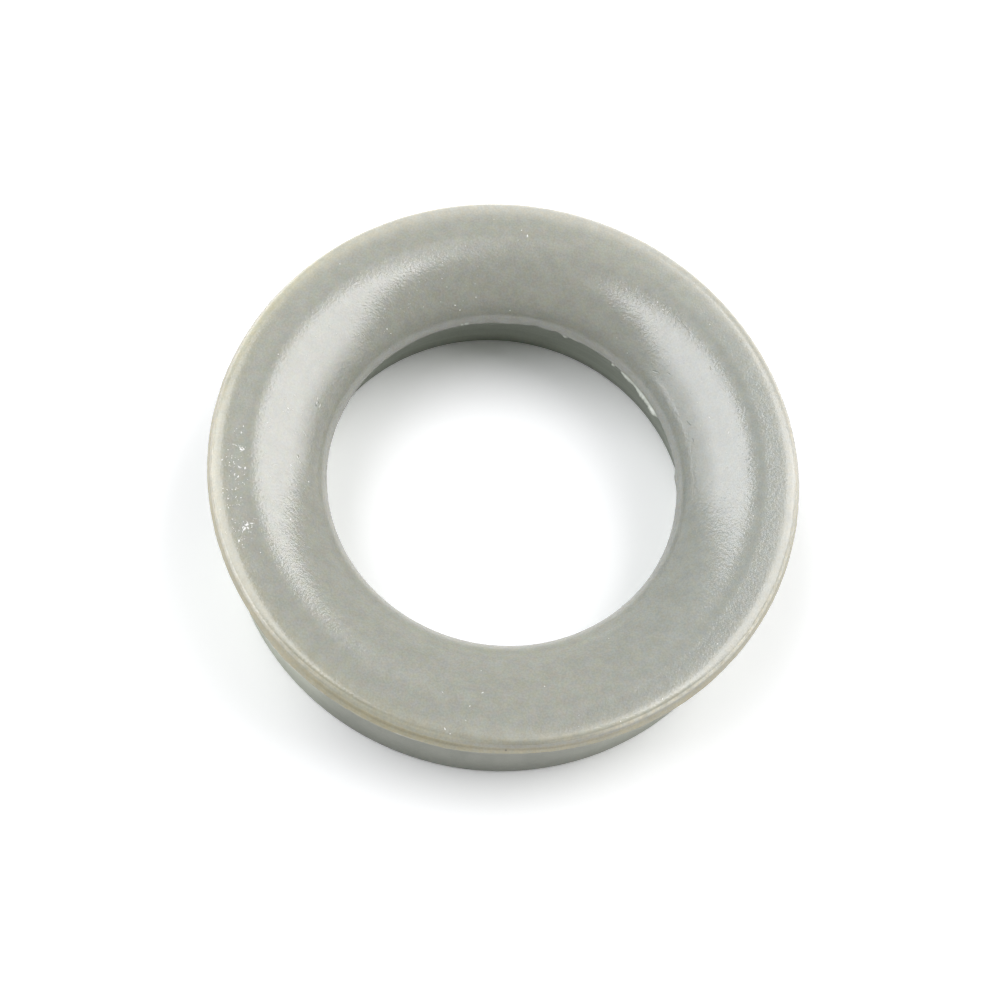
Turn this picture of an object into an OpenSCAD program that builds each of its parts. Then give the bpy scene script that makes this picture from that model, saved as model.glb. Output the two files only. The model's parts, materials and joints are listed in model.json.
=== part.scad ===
// Air filter flange: a bell-mouthed ring moulded in one piece from grey rubber.
// The recess underneath pushes over a carburettor's mouth. The foam filter's collar
// stretches over the outside wall and is held there by the lip.
// The ring stands on its flat foot, with the bell's mouth up and its axis on Z.

/* [Collar] */
// Diameter of the outside wall that the filter seats on
wall_d = 57; // [55:0.5:62]
// Radius of the wall's bottom edge
foot_round = 0.4; // [0.2:0.1:0.8]
// Radius of the inside corner between the wall and the lip
root_fillet = 0.4; // [0.2:0.1:0.8]

/* [Lip] */
// How far the lip stands out past the outside wall
lip_overhang = 1.5; // [1:0.1:3]
// Height of the lip's flat underside above the foot
lip_height = 13.5; // [12.8:0.1:15]
// Height of the lip's outer face
rim_height = 1; // [0.7:0.05:1.4]
// How far the lip's outer face leans in at its top
rim_lean = 0.45; // [0.2:0.05:0.8]

/* [Bell] */
// Width of the level top
top_width = 2.1; // [1:0.1:3]
// Rise of the level top above the top edge of the lip
top_rise = 0.4; // [0.2:0.05:0.8]
// Width of the shoulder, from the level top out to the top edge of the lip
shoulder_width = 1.45; // [0.8:0.05:2.4]
// Radius of the shoulder
shoulder_round = 3.2; // [2:0.1:6]
// Radius of the crown, the flatter curve from the level top in to the throat's round
crown_round = 13; // [8:0.5:20]
// Radius of the round that leads out of the throat
throat_round = 3; // [2.2:0.1:4.4]
// Diameter of the throat, the narrowest part of the hole
throat_d = 36.2; // [34:0.2:38]
// Straight length of the throat, which ends in a sharp edge
throat_land = 0.2; // [0.1:0.1:0.8]

/* [Recess] */
// Diameter of the recess that takes the carburettor's mouth
recess_d = 41; // [39.5:0.1:44]
// Depth of the recess, from the foot to its shoulder
recess_depth = 9.2; // [8:0.1:9.9]
// Radius of the recess's bottom edge, which leads the carburettor's mouth in
lead_round = 0.5; // [0.2:0.1:1]
// Radius of the inside corner between the recess and its shoulder
recess_fillet = 0.5; // [0.2:0.1:1]

/* [Hidden] */
$fn = 180;
// Degrees by which a round's waste runs on past where the round ends
LAP = 2;
// How far the crown's circle cuts into the throat's round, to cross it and not graze it
CROSS = 0.0005;

wall_r = wall_d / 2;
lip_r = wall_r + lip_overhang;
throat_r = throat_d / 2;
recess_r = recess_d / 2;

// The section is drawn as [radius, height]. The lip's outer face runs from its foot to its
// top edge, where the shoulder cuts off a peak that would reach the level of the bell's top.
rim_foot = [lip_r, lip_height];
rim_top = [lip_r - rim_lean, lip_height + rim_height];
bell_height = rim_top.y + top_rise;
rim_peak = [rim_top.x - rim_lean * top_rise / rim_height, bell_height];
top_outer = [rim_top.x - shoulder_width, bell_height];
top_inner = [top_outer.x - top_width, bell_height];

// The point that lies rp from p and rq from q, to the right of the way from p to q
function apart(p, rp, q, rq) =
    let (
        way = q - p,
        along = (rp ^ 2 - rq ^ 2 + way * way) / (2 * norm(way)),
        aside = sqrt(rp ^ 2 - along ^ 2)
    )
    p + (along * way + aside * [way.y, -way.x]) / norm(way);

// The angle of point p as seen from a centre
function angle_at(centre, p) = atan2(p.y - centre.y, p.x - centre.x);

// The crown shares a tangent with the throat's round, so their centres and the point where
// they meet lie on one line. It runs up to the inside edge of the level top.
throat_centre = [throat_r + throat_round, recess_depth + throat_land];
crown_centre = apart(throat_centre, crown_round - throat_round + CROSS, top_inner, crown_round);
crown_angle = angle_at(crown_centre, throat_centre);

// The shoulder runs from the outside edge of the level top to the top edge of the lip.
shoulder_centre = apart(top_outer, shoulder_round, rim_top, shoulder_round);
shoulder_angle = angle_at(shoulder_centre, rim_top);

// What a round takes off: all that lies outside a circle, between two angles at its centre
module waste(centre, r, from, to) {
    reach = r + bell_height;
    translate(centre) difference() {
        polygon([
            [0, 0],
            reach * [cos(from), sin(from)],
            reach * [cos((from + to) / 2), sin((from + to) / 2)],
            reach * [cos(to), sin(to)]
        ]);
        circle(r);
    }
}

// Outline of the ring before its hollows and rounds
module blank_section() {
    polygon([
        [throat_r, 0],
        [throat_r, bell_height],
        rim_peak,
        rim_foot,
        [lip_r, 0]
    ]);
}

// The hollow for the carburettor's mouth, with its inside corner rounded
module recess_section() {
    difference() {
        translate([0, -recess_depth]) square([recess_r, 2 * recess_depth]);
        waste([recess_r - recess_fillet, recess_depth - recess_fillet], recess_fillet, 0, 90);
    }
}

// The space below the lip that the filter's collar fills
module collar_space_section() {
    difference() {
        translate([wall_r, -lip_height]) square([lip_r, 2 * lip_height]);
        waste([wall_r + root_fillet, lip_height - root_fillet], root_fillet, 90, 180);
    }
}

// The rounds of the bell, from the throat over the level top to the lip
module bell_waste() {
    waste(throat_centre, throat_round, crown_angle, 180);
    waste(crown_centre, crown_round, 90, crown_angle + LAP);
    waste(shoulder_centre, shoulder_round, shoulder_angle - LAP, 90);
}

// The rounded edges on both sides of the flat foot
module foot_waste() {
    waste([wall_r - foot_round, foot_round], foot_round, 270, 360);
    waste([recess_r + lead_round, lead_round], lead_round, 180, 270);
}

module flange() {
    color([0.64, 0.65, 0.60])
        rotate_extrude()
            difference() {
                blank_section();
                recess_section();
                collar_space_section();
                bell_waste();
                foot_waste();
            }
}

flange();
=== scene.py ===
import json
import math
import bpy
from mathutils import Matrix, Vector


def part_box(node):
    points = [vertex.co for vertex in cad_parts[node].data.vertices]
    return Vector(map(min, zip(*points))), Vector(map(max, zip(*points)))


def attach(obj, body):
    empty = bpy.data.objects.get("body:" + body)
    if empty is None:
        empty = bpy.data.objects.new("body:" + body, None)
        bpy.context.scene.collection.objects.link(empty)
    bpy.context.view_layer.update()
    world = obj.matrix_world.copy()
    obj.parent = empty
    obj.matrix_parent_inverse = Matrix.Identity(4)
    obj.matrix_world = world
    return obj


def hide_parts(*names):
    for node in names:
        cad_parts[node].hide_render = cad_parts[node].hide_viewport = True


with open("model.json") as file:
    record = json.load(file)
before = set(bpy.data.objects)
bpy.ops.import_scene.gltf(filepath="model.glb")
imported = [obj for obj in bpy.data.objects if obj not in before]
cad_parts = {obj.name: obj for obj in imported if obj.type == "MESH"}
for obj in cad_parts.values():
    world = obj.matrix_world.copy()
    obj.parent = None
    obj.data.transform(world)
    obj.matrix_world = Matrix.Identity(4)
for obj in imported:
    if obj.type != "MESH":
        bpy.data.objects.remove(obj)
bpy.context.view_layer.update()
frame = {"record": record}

from types import SimpleNamespace

import bmesh
import bpy
import numpy as np
from mathutils import Matrix, Vector

# The ring's lengths are in millimetres, and those of the ground, lamps and clipping in metres.
# Directions are in degrees round Z: 0 to the right, 90 to the back, 180 to the left and 270 to
# the front. A stretch of the ring is (middle, half width, soft width) in these degrees.
MM = 0.001

# ---------------------------------------------------------------- sizes of the ring
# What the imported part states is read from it.
mounts = {mount["name"]: mount for mount in frame["record"]["mounts"]}
top_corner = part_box("flange")[1]
LIP_R = top_corner.x / MM
TOP_Z = top_corner.z / MM
WALL_R = mounts["filter_seat"]["dims"]["r_mm"]
RECESS_R = mounts["carburettor_mouth"]["dims"]["r_mm"]

LIP_Z = 13.5
RIM_LEAN = 0.45
TOP_RISE = 0.4
SHOULDER_WIDTH = 1.02
TOP_WIDTH = 2.53
SHOULDER_ROUND = 1.55
CROWN_ROUND = 13.0
THROAT_ROUND = 3.0
THROAT_R = 18.1
THROAT_LAND = 0.2
RECESS_Z = 9.2
FOOT_ROUND = 0.4
LEAD_ROUND = 0.5
INNER_FILLET = 0.5
ROOT_FILLET = 0.4

# Both ways from a bend in the bell, how far it is spread, and how finely the bell is resampled
EASING = 0.6
EASING_STEP = 0.15

# What the mould leaves of the sharp corners
CREASE_ROUND = 0.18
RIM_FOOT_ROUND = 0.1

# Flash left on the throat's edge: direction, then how far it reaches in
FLASH = [
    (36.2, 0.0), (37.0, 0.07), (37.8, 0.14), (38.5, 0.36), (39.3, 0.48), (40.5, 0.5),
    (41.5, 0.46), (43.0, 0.38), (45.0, 0.42), (47.0, 0.46), (49.0, 0.34), (51.5, 0.2),
    (53.5, 0.3), (55.5, 0.34), (57.0, 0.2), (58.5, 0.05), (60.4, 0.03), (61.2, 0.22),
    (61.8, 0.24), (62.4, 0.0),
]
# Smaller nibs and nicks in the same edge: direction, half width, reach in
NIBS = [
    (80.6, 1.1, 0.24), (77.0, 1.4, 0.1), (91.6, 2.2, -0.12), (84.0, 1.2, -0.1), (14.6, 2.8, 0.17),
    (33.4, 0.6, 0.1), (324.6, 1.2, 0.1), (101.5, 3.0, 0.08), (110.0, 1.6, 0.1), (331.0, 1.4, 0.06),
]
NIB_SHARPNESS = 1.4
# How far they reach at heights above the edge: height, then the share of the reach
EDGE_SHARES = [(0.0, 1.0), (0.09, 0.95), (0.22, 0.3), (0.4, 0.0)]
EDGE_WIDTH = 0.4
# How far the edge wanders elsewhere, and how much of the flash's reach is even and how much ragged
EDGE_WANDER = 0.012
FLASH_EVEN = 0.928
FLASH_RAGGED = 0.072

# How far the crease and the foot of the rim wander in long and short waves, and how far round
# them the section follows
CREASE_WANDER = (0.018, 0.01)
CREASE_REACH = 0.5
RIM_FOOT_WANDER = (0.014, 0.014)
RIM_FOOT_REACH = 0.35

# At the front the lip is worn back at its crease and flared at its foot: where, and how far
CREASE_SLIDE = (282, 42, 12)
SLIDE_IN = 0.18
SLIDE_UP = 0.10
FOOT_FLARE = (254, 22, 8)
FLARE_OUT = 0.22


# ---------------------------------------------------------------- section of the ring
def apart(p, rp, q, rq):
    """The point rp from p and rq from q, to the right of the way from p to q."""
    way = q - p
    gap = np.hypot(*way)
    along = (rp ** 2 - rq ** 2 + gap ** 2) / (2 * gap)
    aside = math.sqrt(rp ** 2 - along ** 2)
    return p + (along * way + aside * np.array([way[1], -way[0]])) / gap


def angle_at(centre, p):
    return math.atan2(p[1] - centre[1], p[0] - centre[0])


def arc(centre, radius, start, end, steps):
    """Points on an arc, both ends included. Angles are in radians."""
    turn = np.linspace(start, end, steps + 1)[:, None]
    return centre + radius * np.hstack([np.cos(turn), np.sin(turn)])


def straight(start, end, steps):
    """Points on a straight line, both ends included."""
    share = np.linspace(0, 1, steps + 1)[:, None]
    return np.asarray(start, float) * (1 - share) + np.asarray(end, float) * share


def unit(v):
    return v / np.hypot(*v)


# Points nearer to a corner than its round, by this factor, make way for it
CORNER_CLEARANCE = 1.2


def corner(before, after, radius, steps):
    """Joins two runs of points that meet at a corner, with the corner rounded."""
    tip = before[-1]
    ahead = unit(tip - before[-2])
    onward = unit(after[1] - tip)
    cross = ahead[0] * onward[1] - ahead[1] * onward[0]
    bend = math.atan2(cross, float(ahead @ onward))
    reach = radius * math.tan(abs(bend) / 2)
    side = math.copysign(1, bend) * np.array([-ahead[1], ahead[0]])
    centre = tip - reach * ahead + radius * side
    start = angle_at(centre, tip - reach * ahead)
    rounded = arc(centre, radius, start, start + bend, steps)
    cleared = reach * CORNER_CLEARANCE
    kept_before = before[np.hypot(*(before - tip).T) > cleared]
    kept_after = after[np.hypot(*(after - tip).T) > cleared]
    return np.vstack([kept_before, rounded, kept_after])


def eased(points):
    """The run of points with its bends spread to both sides. The ends stay."""
    walked = np.concatenate([[0], np.cumsum(np.hypot(*np.diff(points, axis=0).T))])
    even = np.linspace(0, walked[-1], round(walked[-1] / EASING_STEP) + 1)
    run = np.stack([np.interp(even, walked, points[:, axis]) for axis in (0, 1)], axis=1)
    count = round(EASING / EASING_STEP)
    before = 2 * run[0] - run[count:0:-1]
    after = 2 * run[-1] - run[-2:-count - 2:-1]
    longer = np.vstack([before, run, after])
    weights = np.hanning(2 * count + 3)[1:-1]
    weights /= weights.sum()
    return np.stack([np.convolve(longer[:, axis], weights, "valid") for axis in (0, 1)], axis=1)


def bell_run(rim_top):
    """The section from the foot of the throat up over the crown and the top to the crease."""
    top_outer = np.array([rim_top[0] - SHOULDER_WIDTH, TOP_Z])
    top_inner = np.array([top_outer[0] - TOP_WIDTH, TOP_Z])
    throat_centre = np.array([THROAT_R + THROAT_ROUND, RECESS_Z + THROAT_LAND])
    crown_centre = apart(throat_centre, CROWN_ROUND - THROAT_ROUND, top_inner, CROWN_ROUND)
    crown_start = angle_at(crown_centre, throat_centre)
    crown_end = angle_at(crown_centre, top_inner)
    shoulder_centre = apart(top_outer, SHOULDER_ROUND, rim_top, SHOULDER_ROUND)
    shoulder_start = angle_at(shoulder_centre, top_outer)
    shoulder_end = angle_at(shoulder_centre, rim_top)
    return eased(np.vstack([
        straight([THROAT_R, RECESS_Z], [THROAT_R, RECESS_Z + THROAT_LAND], 3)[:-1],
        arc(throat_centre, THROAT_ROUND, math.pi, crown_start, 22)[:-1],
        arc(crown_centre, CROWN_ROUND, crown_start, crown_end, 26)[:-1],
        straight(top_inner, top_outer, 8)[:-1],
        arc(shoulder_centre, SHOULDER_ROUND, shoulder_start, shoulder_end, 10),
    ]))


def section():
    """The ring's outline as [radius, height], from the throat over the lip and back."""
    rim_top = [LIP_R - RIM_LEAN, TOP_Z - TOP_RISE]
    rim_foot = [LIP_R, LIP_Z]
    wall_top = [WALL_R, LIP_Z]
    wall_foot = [WALL_R, 0]
    recess_foot = [RECESS_R, 0]
    recess_top = [RECESS_R, RECESS_Z]
    throat_edge = [THROAT_R, RECESS_Z]

    outline = corner(bell_run(rim_top), straight(rim_top, rim_foot, 5), CREASE_ROUND, 4)
    outline = corner(outline, straight(rim_foot, wall_top, 4), RIM_FOOT_ROUND, 3)
    outline = corner(outline, straight(wall_top, wall_foot, 14), ROOT_FILLET, 4)
    outline = corner(outline, straight(wall_foot, recess_foot, 5), FOOT_ROUND, 4)
    outline = corner(outline, straight(recess_foot, recess_top, 10), LEAD_ROUND, 4)
    outline = corner(outline, straight(recess_top, throat_edge, 4), INNER_FILLET, 4)
    return outline[:-1]


# ---------------------------------------------------------------- the ring's mesh
# Steps round Z, in degrees: from, to and how many. They are finest along the flash.
TURN_SPANS = [(0, 34, 48), (34, 64, 120), (64, 96, 64), (96, 360, 348)]


def turns():
    spans = [np.linspace(start, end, count, endpoint=False) for start, end, count in TURN_SPANS]
    return np.radians(np.concatenate(spans))


def wander(turn, waves, seed):
    """A smooth closed curve round Z, about -1 to 1, of waves with the numbers given."""
    rng = np.random.default_rng(seed)
    total = np.zeros_like(turn)
    for count in waves:
        total += rng.uniform(0.4, 1.0) * np.sin(count * turn + rng.uniform(0, 2 * math.pi))
    return total / math.sqrt(len(waves))


def window(turn, middle, half, soft):
    """One along a stretch of the ring, as a material's sector is."""
    away = np.cos(turn - math.radians(middle))
    outer = math.cos(math.radians(half + soft))
    inner = math.cos(math.radians(half - soft))
    share = np.clip((away - outer) / (inner - outer), 0, 1)
    return share * share * (3 - 2 * share)


def near(out, high, radius, height, reach):
    """One at a corner of the section, fading to nought round it."""
    return np.exp(-((out - radius) / reach) ** 2 - ((high - height) / reach) ** 2)


def edge_reach(turn):
    """How far the throat's edge reaches in past its true circle."""
    degrees = np.degrees(turn)
    short_waves = wander(turn, range(25, 120, 7), 11)
    long_waves = wander(turn, range(3, 24, 4), 12)
    ragged = FLASH_EVEN + FLASH_RAGGED * wander(turn, range(90, 330, 17), 5)
    flash = np.interp(degrees, *np.array(FLASH).T, left=0, right=0)
    reach = EDGE_WANDER * (short_waves + long_waves) + flash * ragged
    for middle, half, nib in NIBS:
        away = (degrees - middle + 180) % 360 - 180
        reach += nib * np.exp(-(away / half) ** 2 * NIB_SHARPNESS)
    return reach


def moulded(outline, turn):
    """Radius and height of every point, with what the mould and wear have left on the edges."""
    out = np.broadcast_to(outline[None, :, 0], (len(turn), len(outline))).copy()
    high = np.broadcast_to(outline[None, :, 1], out.shape).copy()

    edge = np.interp(high - RECESS_Z, *np.array(EDGE_SHARES).T) * (out < THROAT_R + EDGE_WIDTH)
    out -= edge * edge_reach(turn)[:, None]

    crease = near(out, high, LIP_R - RIM_LEAN, TOP_Z - TOP_RISE, CREASE_REACH)
    long_waves = wander(turn, range(2, 30, 3), 21)
    short_waves = wander(turn, range(40, 150, 13), 22)
    crease_waves = CREASE_WANDER[0] * long_waves + CREASE_WANDER[1] * short_waves
    high += crease * crease_waves[:, None]

    rim_foot = near(out, high, LIP_R, LIP_Z, RIM_FOOT_REACH)
    long_waves = wander(turn, range(5, 60, 6), 31)
    short_waves = wander(turn, range(70, 240, 19), 32)
    foot_waves = RIM_FOOT_WANDER[0] * long_waves + RIM_FOOT_WANDER[1] * short_waves
    out += rim_foot * foot_waves[:, None]

    slide = crease * window(turn, *CREASE_SLIDE)[:, None]
    flare = np.clip((out - WALL_R) / (LIP_R - WALL_R), 0, 1)
    flare *= np.clip(TOP_Z - TOP_RISE - high, 0, 1) * (high > LIP_Z - 0.1)
    out += window(turn, *FOOT_FLARE)[:, None] * flare * FLARE_OUT - slide * SLIDE_IN
    high += slide * SLIDE_UP
    return out, high


def add_piece(name, mesh, material):
    """An object of the mesh in the scene, in the material given."""
    piece = bpy.data.objects.new(name, mesh)
    bpy.context.scene.collection.objects.link(piece)
    mesh.materials.append(material)
    return piece


def add_ring(outline):
    """A closed mesh of the outline turned round Z."""
    turn = turns()
    out, high = moulded(outline, turn)
    points = np.stack([np.cos(turn)[:, None] * out, np.sin(turn)[:, None] * out, high], axis=-1) * MM

    count = len(outline)
    ring = np.arange(len(turn))[:, None] * count
    next_ring = np.roll(ring, -1, axis=0)
    here = np.arange(count)[None, :]
    there = np.roll(here, -1, axis=1)
    faces = np.stack([ring + here, ring + there, next_ring + there, next_ring + here], axis=-1)

    mesh = bpy.data.meshes.new("ring")
    mesh.from_pydata(points.reshape(-1, 3).tolist(), [], faces.reshape(-1, 4).tolist())
    mesh.validate()
    mesh.shade_smooth()
    return add_piece("ring", mesh, rubber_material())


# ---------------------------------------------------------------- short ways with shader nodes
# A speck's least size, as a share of the size given, and how much of a speck or mark is full
SMALLEST_SPECK = 0.4
FULL_SPECK = 0.5
FULL_MARK = 0.2
# How far the next seed's noise and specks lie from the last one's
NOISE_STEP = (37.1, 17.9, 53.3)
SPECK_STEP = (11.3, 29.7, 7.1)


class Graph:
    """Adds shader nodes to a tree and joins them."""

    def __init__(self, tree):
        tree.nodes.clear()
        self.nodes = tree.nodes
        self.links = tree.links

    def feed(self, socket, value):
        if isinstance(value, bpy.types.NodeSocket):
            self.links.new(value, socket)
        else:
            socket.default_value = value

    def math(self, operation, *values):
        node = self.nodes.new("ShaderNodeMath")
        node.operation = operation
        for socket, value in zip(node.inputs, values):
            self.feed(socket, value)
        return node.outputs[0]

    def product(self, *values):
        total = values[0]
        for value in values[1:]:
            total = self.math("MULTIPLY", total, value)
        return total

    def largest(self, values):
        total = values[0]
        for value in values[1:]:
            total = self.math("MAXIMUM", total, value)
        return total

    def raised(self, base, additions):
        """The base with each mask added by its amount."""
        for mask, amount in additions:
            base = self.math("MULTIPLY_ADD", mask, amount, base)
        return base

    def vector(self, operation, *values, scale=None, result=0):
        node = self.nodes.new("ShaderNodeVectorMath")
        node.operation = operation
        for socket, value in zip(node.inputs, values):
            self.feed(socket, value)
        if scale is not None:
            node.inputs["Scale"].default_value = scale
        return node.outputs[result]

    def fade(self, value, start, end, low=0.0, high=1.0):
        """Low before start, high past end, and a smooth way between. End may be the lesser."""
        node = self.nodes.new("ShaderNodeMapRange")
        node.interpolation_type = "SMOOTHSTEP"
        for socket, given in zip(node.inputs, (value, start, end, low, high)):
            self.feed(socket, given)
        return node.outputs[0]

    def band(self, value, start, end, soft):
        """One between start and end, and nought outside."""
        rise = self.fade(value, start - soft, start + soft)
        return self.math("MULTIPLY", rise, self.fade(value, end - soft, end + soft, 1.0, 0.0))

    def blend(self, factor, before, after, kind="MIX"):
        node = self.nodes.new("ShaderNodeMix")
        node.data_type = "RGBA"
        node.blend_type = kind
        self.feed(node.inputs["Factor"], factor)
        for socket, value in ((node.inputs["A"], before), (node.inputs["B"], after)):
            self.feed(socket, value if isinstance(value, bpy.types.NodeSocket) else (*value, 1))
        return node.outputs["Result"]

    def tint(self, factor, colour, tint):
        """The colour multiplied by the tint, by as much as the factor says."""
        return self.blend(factor, colour, tint, kind="MULTIPLY")

    def vary(self, colour, mask, low, high):
        """The colour multiplied by low where the mask is nought and by high where it is one."""
        return self.tint(1.0, colour, self.blend(mask, low, high))

    def finish(self, kind, shader):
        """Joins the shader to an output of the kind given."""
        self.links.new(shader.outputs[0], self.nodes.new(kind).inputs[0])

    def seen_apart(self, kind, light_shader, seen_shader):
        """An output where the camera sees one shader and everything else meets the other."""
        path = self.nodes.new("ShaderNodeLightPath")
        mix = self.nodes.new("ShaderNodeMixShader")
        sources = (path.outputs["Is Camera Ray"], light_shader.outputs[0], seen_shader.outputs[0])
        for source, socket in zip(sources, mix.inputs):
            self.links.new(source, socket)
        self.finish(kind, mix)


class Surface(Graph):
    """A graph that knows places on the ring. Places and lengths are in millimetres."""

    def __init__(self, tree):
        super().__init__(tree)
        coordinates = self.nodes.new("ShaderNodeTexCoord")
        self.place = self.vector("SCALE", coordinates.outputs["Object"], scale=1 / MM)
        split = self.nodes.new("ShaderNodeSeparateXYZ")
        self.links.new(self.place, split.inputs[0])
        x, y, self.z = split.outputs
        flat = self.nodes.new("ShaderNodeCombineXYZ")
        self.feed(flat.inputs[0], x)
        self.feed(flat.inputs[1], y)
        self.flat = flat.outputs[0]
        self.radius = self.vector("LENGTH", self.flat, result=1)
        self.turn = self.math("ARCTAN2", y, x)

    def sector(self, middle, half, soft):
        """One along a stretch of the ring."""
        away = self.math("COSINE", self.math("SUBTRACT", self.turn, math.radians(middle)))
        outer = math.cos(math.radians(half + soft))
        inner = math.cos(math.radians(max(half - soft, 0)))
        return self.fade(away, outer, inner)

    def noise(self, size, seed, detail=2.0, stretch=None):
        """Soft noise from 0 to 1, with features of the size given."""
        moved = self.vector("ADD", self.place, [seed * step for step in NOISE_STEP])
        if stretch:
            moved = self.vector("MULTIPLY", moved, stretch)
        node = self.nodes.new("ShaderNodeTexNoise")
        self.feed(node.inputs["Vector"], moved)
        node.inputs["Scale"].default_value = 1 / size
        node.inputs["Detail"].default_value = detail
        return node.outputs["Fac"]

    def specks(self, spacing, size, share, seed):
        """Small dots in a share of the cells, each of its own size and up to the size given."""
        moved = self.vector("ADD", self.place, [seed * step for step in SPECK_STEP])
        node = self.nodes.new("ShaderNodeTexVoronoi")
        self.feed(node.inputs["Vector"], moved)
        node.inputs["Scale"].default_value = 1 / spacing
        split = self.nodes.new("ShaderNodeSeparateColor")
        self.links.new(node.outputs["Color"], split.inputs[0])
        chosen = self.math("LESS_THAN", split.outputs[0], share)
        own_size = self.math("MULTIPLY_ADD", split.outputs[1], 1 - SMALLEST_SPECK, SMALLEST_SPECK)
        wide = self.math("MULTIPLY", own_size, size / spacing)
        inside = self.fade(self.math("DIVIDE", node.outputs["Distance"], wide), 1.0, FULL_SPECK)
        return self.math("MULTIPLY", inside, chosen)

    def mark(self, x, y, direction, length, width):
        """A short straight mark seen from above: one on its line, fading to nought round it."""
        node = self.nodes.new("ShaderNodeMapping")
        node.vector_type = "TEXTURE"
        self.links.new(self.flat, node.inputs["Vector"])
        node.inputs["Location"].default_value = (x, y, 0)
        node.inputs["Rotation"].default_value = (0, 0, math.radians(direction))
        node.inputs["Scale"].default_value = (length / 2, width / 2, 1)
        return self.fade(self.vector("LENGTH", node.outputs[0], result=1), 1.0, FULL_MARK)

    def marks(self, rows):
        return self.largest([self.mark(*row) for row in rows])


def new_material(name):
    material = bpy.data.materials.new(name)
    material.use_nodes = True
    return material


# ---------------------------------------------------------------- what can be seen on the ring
# Places are from above, as x and y.
# Scores in the rubber: x, y, direction in degrees, length, width
SCORES = [
    (12.92, 14.74, -16, 1.0, 0.16), (14.32, 14.52, -28, 0.6, 0.16), (17.37, 9.64, -41, 0.95, 0.15),
    (18.14, 7.93, -60, 0.65, 0.16), (12.49, 13.61, -86, 0.6, 0.12), (16.57, 17.49, -62, 0.6, 0.15),
    (14.84, 19.39, -40, 3.2, 0.13), (18.28, 15.40, -59, 0.5, 0.16), (24.08, 4.91, -52, 1.1, 0.14),
    (-19.99, 2.05, -54, 0.85, 0.15), (-20.25, 1.75, -50, 0.6, 0.12), (-20.47, -4.33, -62, 0.65, 0.15),
]
# Pale hairs and scuffs, in the same way
HAIRS = [
    (-20.26, 2.50, -92, 0.56, 0.14), (-20.24, 2.00, -93, 0.48, 0.14), (-19.90, 1.93, -92, 0.72, 0.15),
    (-22.37, -6.24, 32, 0.72, 0.12), (-20.95, -5.63, -57, 0.52, 0.14), (-20.52, -4.44, -53, 0.59, 0.15),
    (-26.56, -5.46, -18, 0.66, 0.12), (-26.05, -5.62, -42, 0.64, 0.12), (-25.77, -5.85, 48, 0.74, 0.13),
    (-23.41, -13.66, -17, 0.56, 0.15), (-23.23, -13.17, -50, 0.65, 0.12), (-22.84, -13.06, 14, 0.68, 0.12),
    (-20.54, -1.66, -45, 0.96, 0.10), (-20.18, -4.83, -39, 0.47, 0.10),
]
# A dark fleck on the rim's face, in the same way
FLECK_MARK = (6.18, -29.07, 0, 0.26, 0.2)
# Patches of painted light and shade on the bell, paler or darker: the stretch of the ring, then radii
# from and to, their soft width, and what the colour is multiplied by
PAINTED_LIGHT_PATCHES = [
    (130, 82, 14, 24.9, 27.6, 0.5, 1.07), (158, 12, 8, 28.7, 29.6, 0.15, 1.15),
    (322, 30, 12, 26.8, 28.6, 0.25, 0.93), (307, 15, 8, 28.8, 29.6, 0.12, 1.08),
    (337, 13, 8, 29.1, 29.6, 0.1, 1.09), (280, 35, 18, 18.9, 20.1, 0.3, 1.14),
    (261, 12, 10, 29.15, 29.75, 0.12, 1.25), (236, 8, 6, 28.4, 29.1, 0.2, 0.93),
    (303, 20, 10, 28.75, 29.05, 0.1, 1.12), (236, 8, 6, 28.8, 29.05, 0.1, 1.12),
]
# Painted light on the outside wall, over its whole height: the stretch of the ring, then what the colour is
# multiplied by
PAINTED_WALL_LIGHT = [(222, 16, 13, 1.95), (322, 16, 14, 1.4)]
# Dusty patches of the bell: the stretch of the ring, radii from and to, their soft width, and
# how dusty
DUSTY_PATCHES = [
    (202, 12, 4, 25.6, 28.4, 0.5, 1.0), (138, 30, 10, 19.4, 24.6, 0.8, 0.9),
    (190, 22, 8, 20.4, 24.6, 0.8, 0.9), (35, 32, 10, 20.5, 25.0, 0.8, 0.8),
]
# Pale specks all over, and those of the dusty patches: spacing, size, share of the cells, seed
FEW_SPECKS = (1.3, 0.09, 0.4, 1)
MANY_SPECKS = (0.38, 0.085, 0.5, 2)
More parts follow.
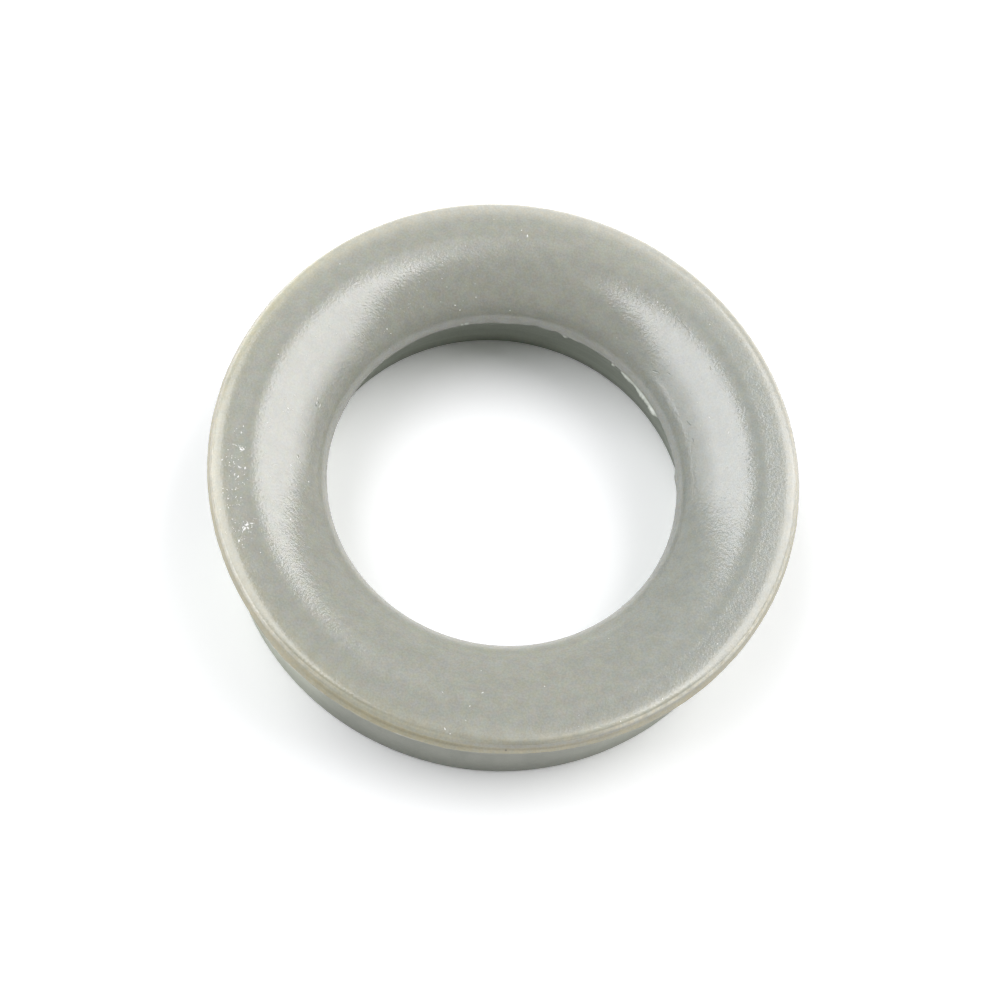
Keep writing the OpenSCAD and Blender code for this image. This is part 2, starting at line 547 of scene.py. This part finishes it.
# Crumbs of dust: x, y, size
CRUMBS = [
    (2.80, -24.27, 0.19), (-0.92, -25.19, 0.13), (0.11, -28.64, 0.18), (1.82, -27.39, 0.13),
    (1.90, -25.93, 0.12), (16.23, -23.96, 0.14), (12.21, -24.34, 0.12), (19.75, -20.83, 0.13),
    (-25.90, -5.80, 0.30), (-25.70, -5.67, 0.18), (-26.85, -5.45, 0.14), (-27.43, -7.30, 0.18),
    (-26.27, -7.26, 0.16), (-25.62, -7.65, 0.22), (-25.01, -7.61, 0.22), (-25.43, -8.65, 0.25),
    (-25.85, -8.51, 0.16), (-24.82, -9.17, 0.15), (-25.63, -10.13, 0.15), (-25.73, -11.16, 0.14),
    (-25.06, -10.82, 0.20), (-24.53, -11.52, 0.18), (-25.63, -11.80, 0.13), (-23.28, -13.35, 0.26),
    (-23.37, -13.87, 0.38), (-23.08, -13.63, 0.20), (-22.85, -13.13, 0.24), (-23.56, -15.15, 0.26),
    (-24.42, -13.39, 0.15), (-24.40, -14.05, 0.14), (-26.38, -4.05, 0.12), (-26.94, -3.73, 0.12),
    (-26.45, -7.76, 0.12), (-22.74, 0.12, 0.18), (-24.24, -2.20, 0.16), (-18.89, -6.47, 0.14),
    (-19.45, -11.40, 0.18), (-20.93, -5.68, 0.20), (11.47, 21.48, 0.14), (12.23, 20.80, 0.16),
    (17.28, 20.12, 0.13), (21.40, 8.80, 0.20), (21.84, 8.17, 0.16), (19.23, 10.27, 0.16),
    (-3.43, 25.47, 0.20), (-4.17, 25.94, 0.14), (-4.29, 24.75, 0.12), (-9.15, 17.04, 0.16),
    (-8.56, 16.84, 0.13), (-17.69, 14.06, 0.16), (-15.82, 16.03, 0.13), (-15.40, 12.30, 0.18),
    (-14.93, 12.10, 0.16), (-16.61, 15.51, 0.12),
]

# Stretches of the ring
RIGHT = (5, 45, 30)
BACK = (100, 50, 25)
LEFT = (195, 55, 30)
FRONT = (272, 24, 14)
SIDES = (105, 108, 15)
# Where painted light pales the throat's front edge
LIT_THROAT = (260, 70, 30)
DULL_THROAT = (90, 125, 15)
TORN_FLASH = (49.2, 13.3, 0.3)
TORN_NIB = (79.5, 3, 1)
CHIP = (115.6, 1.3, 0.5)
GLINTS = [(237, 5, 1), (246.3, 0.4, 0.3), (263.5, 2, 0.6)]

# Zones of the ring: the radius or height where one begins, then where it is full
LIP_HEIGHTS = (LIP_Z - 0.1, LIP_Z + 0.1)
BELL_HEIGHTS = (RECESS_Z, RECESS_Z + 0.1)
OUTSIDE_RADII = (26, 27)
OUTSIDE_HEIGHTS = (LIP_Z - 0.05, LIP_Z - 0.2)
INSIDE_RADII = (21.6, 21.2)
INSIDE_HEIGHTS = (RECESS_Z + 0.05, RECESS_Z - 0.1)
SHOULDER_RADII = (27.3, 29.4)
RIM_FACE_RADII = (29.5, 29.68)
RIM_FOOT_RADII = (LIP_R - 0.1, LIP_R - 0.03)
# Radii where painted light pales the lip's back and sides, and the throat's front edge
LIT_BACK_RADII = (27.0, 29.3)
LIT_SIDE_RADII = (28.7, 29.45)
LIT_THROAT_RADII = (19.6, 18.2)
ROUGH_THROAT_RADII = (20.4, 18.7)
ROUGH_LIP_RADII = (26.6, 28.4)
TORN_RADII = (THROAT_R - 0.05, THROAT_R - 0.13)
CHIP_RADII = (18.3, 18.2)
CHIP_HEIGHTS = (9.72, 9.6)
DULL_BEGINS = (19.15, 19.65)
DULL_ENDS = (21.9, 20.0)
# Heights over which painted shade darkens the outside wall and the recess towards their foot
WALL_SHADE_HEIGHTS = (5.5, 0.5)
RECESS_SHADE_HEIGHTS = (1.6, 0.7)
# Bands along the rim: from, to and soft width
CREASE_RADII = (LIP_R - RIM_LEAN - 0.2, LIP_R - RIM_LEAN + 0.06, 0.07)
CREASE_SHADE_HEIGHTS = (14.0, 14.28, 0.09)
RIM_FOOT_HEIGHTS = (LIP_Z - 0.1, LIP_Z + 0.14, 0.05)

# Colours, linear
OLIVE = (0.346, 0.361, 0.297)
MAUVE = (0.353, 0.352, 0.310)
# Painted light: a cooler tint on the right side, standing in for the cooler light there
PAINTED_COOL_LIGHT = (0.332, 0.354, 0.321)
WARM = (0.392, 0.383, 0.299)
TAN = (0.480, 0.446, 0.292)
# Painted light on the lip's edges that face the lamps and on the throat's front edge
PAINTED_EDGE_LIGHT = (0.565, 0.560, 0.484)
# Partly wear and partly a painted highlight along the lip's crease
CREASE_WEAR_AND_HIGHLIGHT = (0.713, 0.691, 0.572)
# Painted shade under the lip's crease
PAINTED_CREASE_SHADE = (0.235, 0.215, 0.14)
# Painted glint on the rim's foot
GLINT = (0.86, 0.85, 0.78)
WALL_LIGHT = (0.338, 0.357, 0.287)
WALL_DARK = (0.293, 0.314, 0.249)
# Painted shade at the foot of the outside wall
WALL_FOOT_SHADE = (0.213, 0.234, 0.174)
RECESS_LIGHT = (0.268, 0.299, 0.238)
RECESS_DARK = (0.223, 0.254, 0.195)
# Painted shade at the foot of the recess
RECESS_FOOT_SHADE = (0.170, 0.196, 0.145)
DUST = (0.86, 0.86, 0.81)
CRUMB_DARK = (0.80, 0.80, 0.76)
CRUMB_LIGHT = (0.97, 0.97, 0.94)
TORN = (0.68, 0.72, 0.64)
SCORE = (0.20, 0.21, 0.18)
FLECK = (0.10, 0.09, 0.07)

# What the colour is multiplied by: on the left, in clouds, in small blots and by the grain
LEFT_WARMTH = (1.0, 0.985, 0.87)
CLOUD_TINTS = ((0.955, 0.955, 0.955), (1.045, 1.045, 1.045))
BLOT_TINTS = ((0.97, 1.0, 1.045), (1.03, 1.0, 0.955))
GRAIN_TINTS = ((0.93, 0.93, 0.93), (1.07, 1.07, 1.07))

# How much of a colour shows at most
COOL_LIGHT_SHARE = 0.5
WARM_SHARE = 0.75
LIT_THROAT_SHARE = 0.5
WALL_SHARE = 0.85
RECESS_SHARE = 0.9
SPECK_SHARE = 0.8
SCORE_SHARE = 0.14
HAIR_SHARE = 0.75
FLECK_SHARE = 0.85
NIB_SHARE = 0.5
GLINT_ELSEWHERE = 0.25

# Relief
PEBBLE_HEIGHT = 0.017
PIT_HEIGHT = 0.008
SWELL_HEIGHT = 0.01
SPECK_HEIGHT = 0.02
SCORE_DEPTH = 0.03
HAIR_HEIGHT = 0.02
LINE_HEIGHT = 0.006
WALL_SMOOTHING = 0.6
RELIEF_STRENGTH = 1.0

# Shine, and how much rougher some of it is
RUBBER_IOR = 2.0
SHINE = 0.5
DULLNESS = 0.27
ROUGH_LOW = 0.12
ROUGH_HIGH = 0.18
WALL_ROUGHER = 0.25
SPECK_ROUGHER = 0.2
THROAT_ROUGHER = 0.07
LIP_ROUGHER = 0.07
DUST_ROUGHNESS = 0.45


# ---------------------------------------------------------------- rubber
def ring_zones(g):
    """Masks of the ring's zones, each one on its zone and nought off it."""
    lip = g.fade(g.z, *LIP_HEIGHTS)
    outside = g.product(g.fade(g.radius, *OUTSIDE_RADII), g.fade(g.z, *OUTSIDE_HEIGHTS))
    inside = g.product(g.fade(g.radius, *INSIDE_RADII), g.fade(g.z, *INSIDE_HEIGHTS))
    return SimpleNamespace(
        lip=lip,
        bell=g.fade(g.z, *BELL_HEIGHTS),
        outside=outside,
        inside=inside,
        walls=g.math("MAXIMUM", inside, outside),
        shoulder=g.product(lip, g.fade(g.radius, *SHOULDER_RADII)),
        rim_face=g.product(lip, g.fade(g.radius, *RIM_FACE_RADII)),
    )


def pale_specks(g, zones):
    """Pale specks: a few all over the bell and lip, and many in the dusty patches."""
    patches = []
    for *stretch, near_radius, far_radius, soft, share in DUSTY_PATCHES:
        patches.append(g.product(g.sector(*stretch), g.band(g.radius, near_radius, far_radius, soft), share))
    dusty = g.product(g.largest(patches), g.fade(g.noise(1.3, 8), 0.4, 0.6))
    few = g.specks(*FEW_SPECKS)
    many = g.product(g.specks(*MANY_SPECKS), dusty)
    return g.product(g.largest([few, many]), g.math("SUBTRACT", 1.0, zones.walls))


def torn_rubber(g):
    """Torn rubber along the flash and at a chip, where it shows pale."""
    torn = g.largest([g.sector(*TORN_FLASH), g.product(g.sector(*TORN_NIB), NIB_SHARE)])
    flash = g.product(g.fade(g.radius, *TORN_RADII), torn)
    chip = g.product(g.sector(*CHIP), g.fade(g.radius, *CHIP_RADII), g.fade(g.z, *CHIP_HEIGHTS))
    chip = g.product(chip, g.fade(g.noise(0.3, 16), 0.4, 0.5))
    return g.math("MAXIMUM", flash, chip)


def ring_marks(g, zones):
    """Masks of what is on the rubber."""
    return SimpleNamespace(
        pale=pale_specks(g, zones),
        torn=torn_rubber(g),
        scores=g.marks(SCORES),
        hairs=g.marks(HAIRS),
        fleck=g.product(g.mark(*FLECK_MARK), zones.lip),
    )


def colour_with_cool_light(g):
    """The rubber's own colour wanders between olive and a purplish grey, with a painted cooler light tint on
    the right side.
    """
    drift = g.fade(g.noise(0.8, 1, detail=3), 0.32, 0.68)
    return g.blend(g.product(g.sector(*RIGHT), COOL_LIGHT_SHARE), g.blend(drift, OLIVE, MAUVE), PAINTED_COOL_LIGHT)


def lip_colour_and_painted_light(g, zones, colour):
    """The lip's shoulder is warmer, and warmer still on the left; painted light pales the lip's edges that
    face the lamps and the throat's front edge.
    """
    colour = g.blend(g.product(zones.shoulder, WARM_SHARE), colour, WARM)
    lit_back = g.product(g.fade(g.radius, *LIT_BACK_RADII), g.sector(*BACK))
    lit_sides = g.product(g.fade(g.radius, *LIT_SIDE_RADII), g.sector(*SIDES))
    lit_edges = g.product(zones.lip, g.math("MAXIMUM", lit_back, lit_sides))
    # Painted light on the lip's back and sides, where they face the lamps
    colour = g.blend(lit_edges, colour, PAINTED_EDGE_LIGHT)
    colour = g.tint(g.product(zones.shoulder, g.sector(*LEFT)), colour, LEFT_WARMTH)
    throat = g.product(g.fade(g.radius, *LIT_THROAT_RADII), g.sector(*LIT_THROAT))
    # Painted light along the throat's front edge
    return g.blend(g.product(throat, LIT_THROAT_SHARE), colour, PAINTED_EDGE_LIGHT)


def rimmed(g, zones, colour):
    """The rim is tan, with a pale crease that is partly wear and partly painted highlight, a line of painted
    shade under it and painted glints along its foot.
    """
    tanned = g.product(zones.rim_face, g.fade(g.noise(3.0, 3), 0.3, 0.7, 0.6, 1.0))
    colour = g.blend(tanned, colour, TAN)

    broken_up = g.fade(g.noise(0.9, 4, detail=3), 0.35, 0.6)
    front = g.sector(*FRONT)
    slid_radius = g.math("MULTIPLY_ADD", g.sector(*CREASE_SLIDE), SLIDE_IN, g.radius)
    crease = g.product(zones.lip, g.band(slid_radius, *CREASE_RADII))
    crease = g.product(crease, g.fade(broken_up, 0, 1, 0.6, 0.9), g.math("SUBTRACT", 1.0, front))
    # The pale crease is partly wear and partly a painted highlight, left off at the front
    colour = g.blend(crease, colour, CREASE_WEAR_AND_HIGHLIGHT)

    # A line of painted shade on the rim's face under the crease, strongest at the front
    crease_shade = g.product(zones.rim_face, g.band(g.z, *CREASE_SHADE_HEIGHTS), g.fade(front, 0, 1, 0.1, 0.5))
    colour = g.blend(crease_shade, colour, PAINTED_CREASE_SHADE)

    # Painted glints along the rim's foot
    foot = g.product(g.fade(g.radius, *RIM_FOOT_RADII), g.band(g.z, *RIM_FOOT_HEIGHTS))
    glints = g.largest([g.sector(*stretch) for stretch in GLINTS] + [GLINT_ELSEWHERE])
    return g.blend(g.product(foot, glints, g.fade(broken_up, 0, 1, 0.5, 1.0)), colour, GLINT)


def with_painted_light_patches(g, zones, colour):
    """Patches of painted light and shade, paler or darker."""
    for *stretch, near_radius, far_radius, soft, painted_brightness in PAINTED_LIGHT_PATCHES:
        patch = g.product(g.sector(*stretch), g.band(g.radius, near_radius, far_radius, soft), zones.bell)
        colour = g.tint(patch, colour, (painted_brightness, painted_brightness, painted_brightness))
    return colour


def mottled(g, colour):
    """Clouds of lighter and darker rubber, and small blots of a warmer and a cooler tint."""
    clouds = g.fade(g.noise(1.5, 2, detail=4), 0.3, 0.7)
    blots = g.fade(g.noise(0.5, 15, detail=4), 0.3, 0.7)
    return g.vary(g.vary(colour, clouds, *CLOUD_TINTS), blots, *BLOT_TINTS)


def outside_dirt_and_shade(g, zones, colour):
    """Dirt in upright streaks on the outside wall, with painted shade darkening it towards the foot and
    patches of painted light.
    """
    streaks = g.fade(g.noise(1.6, 5, detail=3, stretch=(1, 1, 0.25)), 0.3, 0.7)
    dirt_and_shade = g.blend(g.fade(g.z, *WALL_SHADE_HEIGHTS), g.blend(streaks, WALL_LIGHT, WALL_DARK), WALL_FOOT_SHADE)
    colour = g.blend(g.product(zones.outside, WALL_SHARE), colour, dirt_and_shade)
    # Patches of painted light on the outside wall
    for *stretch, painted_brightness in PAINTED_WALL_LIGHT:
        colour = g.tint(g.product(g.sector(*stretch), zones.outside), colour, (painted_brightness, painted_brightness, painted_brightness))
    return colour


def recess_colour_and_shade(g, zones, colour):
    """Faint rings inside the recess, in a darker and greener colour, with painted shade darkening it towards
    the foot.
    """
    rings = g.fade(g.noise(0.5, 6, stretch=(0.02, 0.02, 1)), 0.35, 0.65)
    dirt_and_shade = g.blend(rings, RECESS_LIGHT, RECESS_DARK)
    dirt_and_shade = g.blend(g.fade(g.z, *RECESS_SHADE_HEIGHTS), dirt_and_shade, RECESS_FOOT_SHADE)
    return g.blend(g.product(zones.inside, RECESS_SHARE), colour, dirt_and_shade)


def marked(g, marks, colour):
    """Fine grain, and the marks on the rubber."""
    grain = g.fade(g.noise(0.2, 7), 0.25, 0.75)
    colour = g.vary(colour, grain, *GRAIN_TINTS)
    colour = g.blend(g.product(marks.pale, SPECK_SHARE), colour, DUST)
    colour = g.blend(marks.torn, colour, TORN)
    colour = g.blend(g.product(marks.scores, SCORE_SHARE), colour, SCORE)
    colour = g.blend(g.product(marks.hairs, HAIR_SHARE), colour, DUST)
    return g.blend(g.product(marks.fleck, FLECK_SHARE), colour, FLECK)


def relief(g, zones, marks):
    """The way the surface faces, with the heights of its grain and marks."""
    pits = g.product(g.noise(0.17, 10, detail=1), PIT_HEIGHT)
    grain = g.raised(pits, [(g.noise(0.3, 9, detail=3), PEBBLE_HEIGHT)])
    grain = g.product(grain, g.math("MULTIPLY_ADD", zones.walls, -WALL_SMOOTHING, 1.0))
    lines = g.product(g.noise(0.3, 12, detail=1, stretch=(0.03, 0.03, 1)), zones.walls)
    height = g.raised(grain, [
        (g.noise(3.2, 11, detail=1), SWELL_HEIGHT),
        (marks.pale, SPECK_HEIGHT),
        (marks.scores, -SCORE_DEPTH),
        (marks.hairs, HAIR_HEIGHT),
        (lines, LINE_HEIGHT),
    ])
    bump = g.nodes.new("ShaderNodeBump")
    bump.inputs["Distance"].default_value = MM
    bump.inputs["Strength"].default_value = RELIEF_STRENGTH
    g.links.new(height, bump.inputs["Height"])
    return bump.outputs[0]


def roughness(g, zones, marks):
    rough_lip = g.product(zones.lip, g.fade(g.radius, *ROUGH_LIP_RADII))
    return g.raised(g.fade(g.noise(0.8, 13, detail=3), 0.3, 0.7, ROUGH_LOW, ROUGH_HIGH), [
        (zones.walls, WALL_ROUGHER),
        (marks.pale, SPECK_ROUGHER),
        (g.fade(g.radius, *ROUGH_THROAT_RADII), THROAT_ROUGHER),
        (rough_lip, LIP_ROUGHER),
    ])


def shine(g, zones):
    """The bell shines less just above the throat."""
    dull = g.product(g.sector(*DULL_THROAT), g.fade(g.radius, *DULL_BEGINS), g.fade(g.radius, *DULL_ENDS))
    return g.math("MULTIPLY_ADD", g.product(dull, zones.bell), -DULLNESS, SHINE)


def rubber_material():
    material = new_material("rubber")
    g = Surface(material.node_tree)
    zones = ring_zones(g)
    marks = ring_marks(g, zones)

    colour = lip_colour_and_painted_light(g, zones, colour_with_cool_light(g))
    colour = rimmed(g, zones, colour)
    colour = mottled(g, with_painted_light_patches(g, zones, colour))
    colour = recess_colour_and_shade(g, zones, outside_dirt_and_shade(g, zones, colour))
    colour = marked(g, marks, colour)

    shader = g.nodes.new("ShaderNodeBsdfPrincipled")
    shader.inputs["IOR"].default_value = RUBBER_IOR
    g.links.new(colour, shader.inputs["Base Color"])
    g.links.new(roughness(g, zones, marks), shader.inputs["Roughness"])
    g.links.new(shine(g, zones), shader.inputs["Specular IOR Level"])
    g.links.new(relief(g, zones, marks), shader.inputs["Normal"])
    g.finish("ShaderNodeOutputMaterial", shader)
    return material


def dust_material():
    material = new_material("dust")
    g = Surface(material.node_tree)
    shader = g.nodes.new("ShaderNodeBsdfPrincipled")
    shader.inputs["Roughness"].default_value = DUST_ROUGHNESS
    g.links.new(g.blend(g.noise(0.15, 14), CRUMB_DARK, CRUMB_LIGHT), shader.inputs["Base Color"])
    g.finish("ShaderNodeOutputMaterial", shader)
    return material


# ---------------------------------------------------------------- dust
# Left of this, each crumb has smaller ones round it, this far off and so many for its size
DUSTY_SIDE = -22.0
DUST_SPREAD = 0.5
DUST_ROUND_EACH = 18
DUST_SEED = 71
SMALL_SIZES = (0.06, 0.14)
# A crumb's half length as a share of its size, then its half width and half height as shares
# of that, and how ragged it is
CRUMB_LENGTH = 0.65
CRUMB_WIDTHS = (0.22, 0.7)
CRUMB_HEIGHTS = (0.2, 0.4)
CRUMB_RAGGED = (0.72, 1.15)
# The slope under a crumb is taken this far to both sides of it
SLOPE_REACH = 0.1


def top_height(outline, radius):
    """Height of the bell and lip at a radius."""
    upper = outline[:np.argmax(outline[:, 0])]
    return float(np.interp(radius, upper[:, 0], upper[:, 1]))


def small_crumbs(rng):
    """Places and sizes of the small crumbs round the large ones on the dusty side."""
    return [
        (x + rng.normal(0, DUST_SPREAD), y + rng.normal(0, DUST_SPREAD), rng.uniform(*SMALL_SIZES))
        for x, y, size in CRUMBS
        if x < DUSTY_SIDE
        for _ in range(round(size * DUST_ROUND_EACH))
    ]


def resting_place(outline, x, y):
    """The place of the ring's top above x and y, with Z square to the surface there."""
    radius = math.hypot(x, y)
    rise = top_height(outline, radius + SLOPE_REACH) - top_height(outline, radius - SLOPE_REACH)
    slope = math.atan2(rise, 2 * SLOPE_REACH)
    place = Matrix.Translation(Vector((x, y, top_height(outline, radius))) * MM)
    return place @ Matrix.Rotation(math.atan2(y, x), 4, "Z") @ Matrix.Rotation(-slope, 4, "Y")


def add_dust(outline):
    """Small closed crumbs, each pressed a little way into the rubber under it."""
    rng = np.random.default_rng(DUST_SEED)
    crumbs = bmesh.new()
    for x, y, size in CRUMBS + small_crumbs(rng):
        spin = Matrix.Rotation(rng.uniform(0, math.pi), 4, "Z")
        reach = size * CRUMB_LENGTH * MM
        width = reach * rng.uniform(*CRUMB_WIDTHS)
        height = reach * rng.uniform(*CRUMB_HEIGHTS)
        whole = resting_place(outline, x, y) @ spin @ Matrix.Diagonal((reach, width, height, 1))
        made = bmesh.ops.create_icosphere(crumbs, subdivisions=2, radius=1)
        for point in made["verts"]:
            point.co *= rng.uniform(*CRUMB_RAGGED)
            point.co = whole @ point.co
    mesh = bpy.data.meshes.new("dust")
    crumbs.to_mesh(mesh)
    crumbs.free()
    return add_piece("dust", mesh, dust_material())


# ---------------------------------------------------------------- ground, world, lights
FLOOR_SIZE = 4.0
FLOOR_WHITE = (0.9, 0.9, 0.9)
FLOOR_SEEN = (1.22, 1.23, 1.225)
WORLD_WHITE = (1, 1, 1, 1)
AMBIENT = 0.10
FROM_ABOVE = 0.128
FROM_BEHIND = 0.127
# The glow along the horizon behind, and the height on a unit sphere where it has ended
HORIZON_BEHIND = 0.45
HORIZON_TOP = 0.4
LIGHTS = [
    # name, azimuth, elevation, distance, width, height, roll, strength, colour
    ("right", 28.6, 46.8, 1.0, 0.87, 0.90, -27.0, 2.79, (1.005, 0.995, 1.01)),
    ("left", 177.2, 49.8, 1.0, 0.88, 0.98, 13.9, 2.53, (0.99, 0.99, 1.03)),
    ("right halo", 29.1, 47.2, 1.05, 1.3, 1.3, -27.0, 0.24, (1.0, 1.0, 1.0)),
    ("left halo", 177.0, 49.8, 1.05, 1.25, 1.3, 13.9, 0.24, (1.0, 1.0, 1.0)),
    ("top", 20.0, 77.5, 1.1, 0.34, 0.3, 0.0, 0.75, (1.0, 1.0, 1.0)),
]


def floor_material():
    """White ground. The camera sees it over-exposed, as in a photograph on white."""
    material = new_material("ground")
    g = Graph(material.node_tree)
    paper = g.nodes.new("ShaderNodeBsdfDiffuse")
    paper.inputs["Color"].default_value = (*FLOOR_WHITE, 1)
    seen = g.nodes.new("ShaderNodeBsdfDiffuse")
    seen.inputs["Color"].default_value = (*FLOOR_SEEN, 1)
    g.seen_apart("ShaderNodeOutputMaterial", paper, seen)
    return material


def add_floor():
    bpy.ops.mesh.primitive_plane_add(size=FLOOR_SIZE, location=(0, 0, 0))
    floor = bpy.context.object
    floor.name = "ground"
    floor.data.materials.append(floor_material())


def set_world():
    """Dim surroundings, a little brighter above, behind the ring and along the horizon."""
    world = bpy.data.worlds.new("studio")
    bpy.context.scene.world = world
    world.use_nodes = True
    g = Graph(world.node_tree)
    coordinates = g.nodes.new("ShaderNodeTexCoord")
    split = g.nodes.new("ShaderNodeSeparateXYZ")
    g.links.new(coordinates.outputs["Generated"], split.inputs[0])
    behind = g.math("MAXIMUM", split.outputs[1], 0.0)
    above = g.math("MAXIMUM", split.outputs[2], 0.0)
    horizon = g.math("MAXIMUM", g.math("MULTIPLY_ADD", split.outputs[2], -1 / HORIZON_TOP, 1.0), 0.0)
    glow = g.raised(AMBIENT, [
        (above, FROM_ABOVE),
        (behind, FROM_BEHIND),
        (horizon, g.product(behind, HORIZON_BEHIND)),
    ])
    dim = g.nodes.new("ShaderNodeBackground")
    g.links.new(glow, dim.inputs["Strength"])
    white = g.nodes.new("ShaderNodeBackground")
    for shade in (dim, white):
        shade.inputs["Color"].default_value = WORLD_WHITE
    g.seen_apart("ShaderNodeOutputWorld", dim, white)


def add_light(name, azimuth, elevation, distance, width, height, roll, strength, colour):
    """A soft box that faces the ring. Its radiance is its strength, where white paper is 1."""
    lamp = bpy.data.lights.new(name, "AREA")
    lamp.shape = "RECTANGLE"
    lamp.size = width
    lamp.size_y = height
    lamp.energy = strength * math.pi * width * height
    lamp.color = colour
    box = bpy.data.objects.new(name, lamp)
    bpy.context.scene.collection.objects.link(box)
    turn = math.radians(azimuth)
    rise = math.radians(elevation)
    back = Vector((math.cos(rise) * math.cos(turn), math.cos(rise) * math.sin(turn), math.sin(rise)))
    box.location = back * distance
    facing = back.to_track_quat("Z", "Y").to_matrix() @ Matrix.Rotation(math.radians(roll), 3, "Z")
    box.rotation_euler = facing.to_euler()


# ---------------------------------------------------------------- camera
CAMERA_ELEVATION = 67.593
CAMERA_ROLL = 13.330
# The camera's place, from the foot's centre, along its own axes
CAMERA_AIM = (0.494, 1.293, 194.266)
FOCAL_PIXELS = 1800
IMAGE_PIXELS = 1000
SENSOR_WIDTH = 36.0
CLIP_START = 0.01
CLIP_END = 20


def add_camera():
    """The photograph's view."""
    data = bpy.data.cameras.new("camera")
    data.sensor_width = SENSOR_WIDTH
    data.lens = SENSOR_WIDTH * FOCAL_PIXELS / IMAGE_PIXELS
    data.clip_start = CLIP_START
    data.clip_end = CLIP_END
    camera = bpy.data.objects.new("camera", data)
    bpy.context.scene.collection.objects.link(camera)
    tilt = Matrix.Rotation(math.radians(90 - CAMERA_ELEVATION), 3, "X")
    axes = tilt @ Matrix.Rotation(math.radians(CAMERA_ROLL), 3, "Z")
    camera.location = axes @ (Vector(CAMERA_AIM) * MM)
    camera.rotation_euler = axes.to_euler()
    bpy.context.scene.camera = camera


# ---------------------------------------------------------------- the scene
outline = section()
ring = add_ring(outline)
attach(ring, "root")
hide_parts("flange")

dust = add_dust(outline)
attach(dust, "root")
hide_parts("flange")

add_floor()
set_world()
for light in LIGHTS:
    add_light(*light)
add_camera()

view_settings = bpy.context.scene.view_settings
view_settings.view_transform = "Standard"
